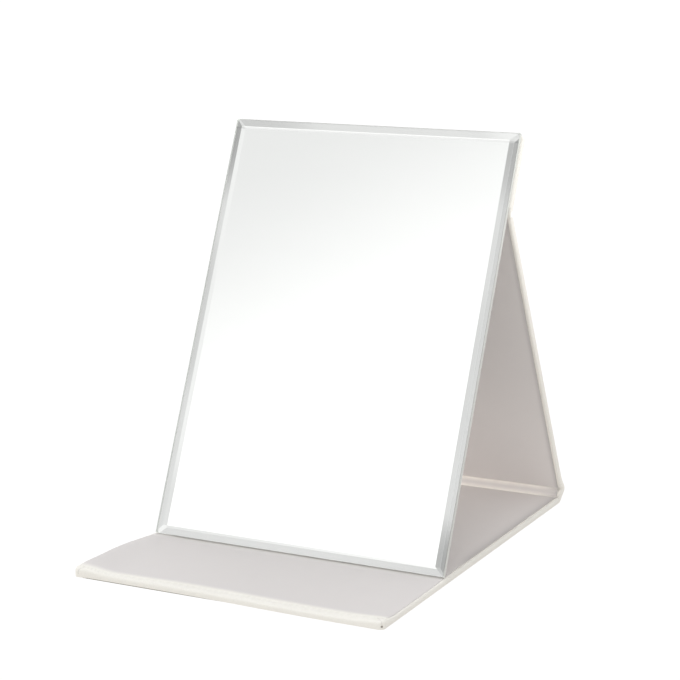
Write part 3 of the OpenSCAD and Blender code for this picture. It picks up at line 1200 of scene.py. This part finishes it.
class MakeGlass(bpy.types.Operator):
    """Builds the bevelled glass plate, with mitred corners and a polished break at its edges."""

    bl_idname = "mesh.easel_glass"
    bl_label = "Mirror glass"
    bl_options = {"REGISTER", "UNDO"}

    def execute(self, context):
        lay, fin = Layout(context.scene), context.scene.finishes
        g = lay.glass
        half_w = GLASS_BOX[1][0]
        r, t, wall = g.arris, g.thickness, g.thickness - g.bevel_d
        slope = np.array([g.bevel_w, g.bevel_d]) / math.hypot(g.bevel_w, g.bevel_d)
        inner = 30 * MM
        # the edge's profile as (inset, height), from inner on the back to inner on the front: back,
        # arris, wall, arris, bevel, arris, front
        profile = np.array([
            (inner, g.back_gap), (r, g.back_gap), (0.3 * r, 0.3 * r + g.back_gap), (0.0, r),
            (0.0, wall - r), (0.25 * r * slope[0], wall - 0.3 * r),
            np.array([0.0, wall]) + r * slope, np.array([g.bevel_w, t]) - 0.6 * r * slope,
            (g.bevel_w + 0.6 * r, t), (inner, t),
        ])
        # a ring at the inset e is the rectangle |u| = half_w - e, v = e and v = height - e
        e, w = profile[:, 0], profile[:, 1]
        u = np.stack([-(half_w - e), half_w - e, half_w - e, -(half_w - e)], 1)
        v = np.stack([e, e, g.height - e, g.height - e], 1)
        away = np.broadcast_to(g.behind + w[:, None], u.shape)
        plane = lay.film_foot + v[..., None] * lay.up + away[..., None] * lay.out
        points = np.concatenate([u[..., None], plane], -1)
        index = np.arange(len(profile) * 4).reshape(-1, 4)
        faces = np.concatenate([ring_quads(index), [index[0][::-1]], [index[-1]]])
        piece = make_piece("mirror_plate", points, faces, sharp=8.0)
        finish_of(piece, glass_material(fin))
        # the wall is ground, and the back carries the silver
        piece.data.materials.append(ground_edge_material(fin, lay))
        piece.data.materials.append(silver_material(fin, lay))
        normals = np.zeros(len(piece.data.polygons) * 3, np.float32)
        piece.data.polygons.foreach_get("normal", normals)
        facing = normals.reshape(-1, 3) @ np.array([0.0, *lay.out])
        index = np.where(np.abs(facing) < 0.05, 1, np.where(facing < -0.95, 2, 0))
        piece.data.polygons.foreach_set("material_index", index.astype(np.int32))
        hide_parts("mirror_glass")
        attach(piece, "mirror")
        return {"FINISHED"}


class DressBoards(bpy.types.Operator):
    """Gives the boards, padding, tapes, film and silver their materials."""

    bl_idname = "mesh.easel_inner"
    bl_label = "Inner pieces"
    bl_options = {"REGISTER", "UNDO"}

    def execute(self, context):
        fin = context.scene.finishes
        made = {
            "_board": board_material(fin),
            "_padding": padding_material(fin),
            "fixing_tapes": tape_material(fin),
            "backing_film": film_material(fin),
            "silvering": silver_material(fin, Layout(context.scene)),
        }
        for name, node in frame["nodes"].items():
            for ending, material in made.items():
                if name.endswith(ending):
                    node.data.materials.clear()
                    node.data.materials.append(material)
        return {"FINISHED"}


# ---------------------------------------------------------------- studio


# Side of the camera's sensor in millimetres.
SENSOR = 36.0
# How bright the camera sees the floor, and the world beyond the floor's edge.
PLAIN_WHITE = 1.05
FLOOR_HALF = 30.0
FLOOR_DROP = 0.2 * MM
# The overhead light grows between these two heights of the unit direction.
OVERHEAD = (0.80, 0.98)
# Soft patches of the studio's walls: azimuth and elevation, inner and outer radius, in degrees.
LEFT_LIGHT = (-98, 3, 8, 26)
FRONT_WALL = (0, -6, 8, 36)
RIGHT_SHADE = (110, 35, 10, 50)
RIGHT_LIGHT = (60, 3, 5, 20)
LEFT_TINT = (1.0, 0.90, 0.82)
# Smaller patches, with their brightness at the end.
LOBES = (
    (-60.2, 24.6, 1.0, 4.2, 0.86),
    (-57.0, 21.0, 1.0, 4.0, 0.90),
    (-37.4, 28.8, 1.0, 3.0, 0.74),
    (-40.0, 45.4, 1.0, 5.5, 0.84),
    (-23.9, 35.0, 1.5, 3.6, 0.95),
    (-23.2, 30.0, 1.5, 3.6, 0.95),
    (-39.9, 35.8, 0.3, 2.7, 0.52),
    (-63.5, 28.8, 0.5, 2.6, 0.60),
    (-35.3, 23.2, 0.3, 2.0, 0.50),
    (-55.0, 17.6, 0.4, 2.0, 0.50),
    (-9.3, 38.9, 0.5, 2.8, 0.42),
    (-9.8, 33.0, 0.8, 2.6, 0.68),
    (-30.2, 14.6, 0.5, 2.6, 0.62),
    (-22.0, 18.3, 0.3, 1.6, 0.92),
)
# The white card that the glass faces: its middle, half width, half height and soft edge as
# tangents, the lean of its sides, and where it fades towards its upper left.
CARD_WAY = (-30.3, 30.5)
CARD_HALF = (0.073, 0.135, 0.036)
CARD_SLANT = 0.24
CARD_FADE = (-0.03, 0.13, 0.9)
# Lamps: name, setting of the power, place, target, width and height, spread in degrees, colour.
LAMPS = (
    ("lamp_right", "lamp", (0.17, 0.06, 0.22), (0.091, 0.055, 0.15), (0.10, 0.10), 180,
     (1, 1, 1)),
    ("lamp_left", "low_lamp", (-0.26, 0.05, 0.03), (0.04, 0.115, -0.005), (0.10, 0.04), 42,
     (1, 0.93, 0.87)),
)


def direction(azimuth, elevation):
    """Unit vector: azimuth from -y towards +x, elevation up, both in degrees."""
    a, e = math.radians(azimuth), math.radians(elevation)
    return (math.sin(a) * math.cos(e), -math.cos(a) * math.cos(e), math.sin(e))


def add_camera(scene, st):
    """The camera, turned by yaw about z, by pitch down from level, and by roll about its axis."""
    data = bpy.data.cameras.new("camera")
    data.lens, data.sensor_fit = st.lens, "HORIZONTAL"
    data.sensor_width = data.sensor_height = SENSOR
    data.clip_start, data.clip_end = 0.05, 100.0
    camera = bpy.data.objects.new("camera", data)
    scene.collection.objects.link(camera)
    level_off = Matrix.Rotation(math.pi / 2 - st.pitch, 4, "X")
    turn = Matrix.Rotation(st.yaw, 4, "Z") @ level_off @ Matrix.Rotation(st.roll, 4, "Z")
    camera.matrix_world = Matrix.Translation(st.place) @ turn
    scene.camera = camera


def white_to_camera(n, kind, light):
    """The shader light, which the camera itself sees as plain white from a node of that kind."""
    direct = n.add("ShaderNodeLightPath").outputs["Is Camera Ray"]
    plain = n.add(kind, {"Color": (1, 1, 1, 1), "Strength": PLAIN_WHITE}).outputs[0]
    return n.mix(direct, light, plain)


def add_floor(scene, st):
    """The pale floor: plain white to the camera, and a soft glow and reflection to the rest."""
    h = FLOOR_HALF
    mesh = bpy.data.meshes.new("floor")
    mesh.from_pydata([(-h, -h, 0), (h, -h, 0), (h, h, 0), (-h, h, 0)], [], [(0, 1, 2, 3)])
    floor = bpy.data.objects.new("floor", mesh)
    floor.location.z = -FLOOR_DROP
    scene.collection.objects.link(floor)
    mat = bpy.data.materials.new("Pale floor")
    n = emptied(mat)
    white = st.floor_white
    glow = n.add(
        "ShaderNodeEmission", {"Color": (1.0, 0.98, 0.95, 1), "Strength": st.floor_glow})
    matt = n.add("ShaderNodeBsdfDiffuse", {"Color": (white, 0.98 * white, 0.955 * white, 1)})
    both = n.add("ShaderNodeAddShader", {0: glow.outputs[0], 1: matt.outputs[0]}).outputs[0]
    surface = white_to_camera(n, "ShaderNodeEmission", both)
    n.add("ShaderNodeOutputMaterial", {"Surface": surface})
    mesh.materials.append(mat)


def add_world(scene, st):
    """The studio's walls: soft patches laid over an even surround, and the white card."""
    world = bpy.data.worlds.new("studio")
    scene.world = world
    n = emptied(world)
    way = n.vectors("NORMALIZE", n.add("ShaderNodeTexCoord").outputs["Generated"])

    def toward(vector):
        """Dot product of the direction with a vector."""
        return n.vectors("DOT_PRODUCT", way, tuple(vector))

    def lobe(azimuth, elevation, inner, outer):
        """1 within inner degrees of a direction, 0 beyond outer."""
        ends = [math.cos(math.radians(a)) for a in (outer, inner)]
        return n.remap(toward(direction(azimuth, elevation)), *ends)

    def lay_over(light, mask, brightness):
        """light where the mask is 0, and brightness where it is 1."""
        return n.plus(n.times(light, n.minus(1.0, mask)), n.times(mask, brightness))

    overhead = n.remap(n.xyz(way)["Z"], *OVERHEAD)
    light = n.plus(st.surround, n.times(overhead, st.overhead))
    patches = [(*LEFT_LIGHT, st.left), (*FRONT_WALL, st.front), (*RIGHT_SHADE, st.shade)]
    for *where, brightness in (*patches, (*RIGHT_LIGHT, st.right), *LOBES):
        light = lay_over(light, lobe(*where), brightness)
    # the card is a soft-edged rectangle, seen along its own axis
    axis = np.array(direction(*CARD_WAY))
    side = unit(np.cross(axis, [0.0, 0.0, 1.0]))
    depth = toward(axis)
    tilt = n.over(toward(np.cross(side, axis)), depth)
    across = n.minus(n.over(toward(side), depth), n.times(tilt, CARD_SLANT))
    wide, high, soft = CARD_HALF
    within = n.times(n.remap(n.size(across), wide + soft, wide),
                     n.remap(n.size(tilt), high + soft, high))
    mask = n.times(within, n.remap(depth, 0.0, 0.1))
    fade_from, fade_to, fade_slant = CARD_FADE
    faded = n.remap(n.plus(tilt, n.times(across, fade_slant)), fade_from, fade_to)
    light = lay_over(light, mask, lay_over(st.card, faded, st.card_dim))
    tint = n.blend(lobe(*LEFT_LIGHT), (1.0, 1.0, 1.0), LEFT_TINT)
    walls = n.add("ShaderNodeBackground", {"Color": tint, "Strength": light}).outputs[0]
    # beyond the floor's edge the camera sees the same plain white
    surface = white_to_camera(n, "ShaderNodeBackground", walls)
    n.add("ShaderNodeOutputWorld", {"Surface": surface})


def add_lamps(scene, st):
    """A small soft lamp close on the right, and a low one on the left that shines in behind."""
    for name, setting, place, target, size, spread, rgb in LAMPS:
        data = bpy.data.lights.new(name, "AREA")
        data.shape, data.size, data.size_y = "RECTANGLE", *size
        data.energy, data.spread, data.color = getattr(st, setting), math.radians(spread), rgb
        lamp = bpy.data.objects.new(name, data)
        scene.collection.objects.link(lamp)
        turn = (Vector(target) - Vector(place)).to_track_quat("-Z", "Y").to_matrix().to_4x4()
        lamp.matrix_world = Matrix.Translation(place) @ turn
        lamp.visible_camera = lamp.visible_glossy = lamp.visible_transmission = False


class MakeStudio(bpy.types.Operator):
    """Builds the camera, the pale floor and the soft light."""

    bl_idname = "mesh.easel_studio"
    bl_label = "Studio"
    bl_options = {"REGISTER", "UNDO"}

    def execute(self, context):
        scene = context.scene
        for build in (add_camera, add_floor, add_world, add_lamps):
            build(scene, scene.studio_settings)
        scene.view_settings.view_transform = "Standard"
        scene.view_settings.look = "None"
        return {"FINISHED"}


OPERATORS = (MakeStudio, MakeCover, MakeLining, MakeGlass, DressBoards)


class EaselPanel(bpy.types.Panel):
    """Lists the steps and their sizes."""

    bl_idname = "VIEW3D_PT_easel_mirror"
    bl_label = "Folding easel mirror"
    bl_space_type = "VIEW_3D"
    bl_region_type = "UI"
    bl_category = "Easel mirror"

    def draw(self, context):
        layout, scene = self.layout, context.scene
        for operator in OPERATORS:
            layout.operator(operator.bl_idname)
        for key in SETTINGS:
            settings = getattr(scene, key)
            box = layout.box()
            for prop in settings.bl_rna.properties:
                if prop.identifier not in {"rna_type", "name"}:
                    box.prop(settings, prop.identifier)


SETTINGS = dict(zip(
    ("case_sizes", "glass_sizes", "finishes", "studio_settings"), PROPERTY_GROUPS))
CLASSES = PROPERTY_GROUPS + OPERATORS + (EaselPanel,)


def register():
    """Registers the classes, and gives the scene its settings."""
    for cls in CLASSES:
        bpy.utils.register_class(cls)
    for key, kind in SETTINGS.items():
        setattr(bpy.types.Scene, key, PointerProperty(type=kind))


def unregister():
    """Takes the settings and the classes away again."""
    for key in SETTINGS:
        delattr(bpy.types.Scene, key)
    for cls in reversed(CLASSES):
        bpy.utils.unregister_class(cls)


def main():
    """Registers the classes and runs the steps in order."""
    register()
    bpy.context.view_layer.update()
    bpy.ops.mesh.easel_studio()
    bpy.ops.mesh.easel_cover()
    bpy.ops.mesh.easel_lining()
    bpy.ops.mesh.easel_glass()
    bpy.ops.mesh.easel_inner()
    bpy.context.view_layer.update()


if __name__ == "__main__":
    main()
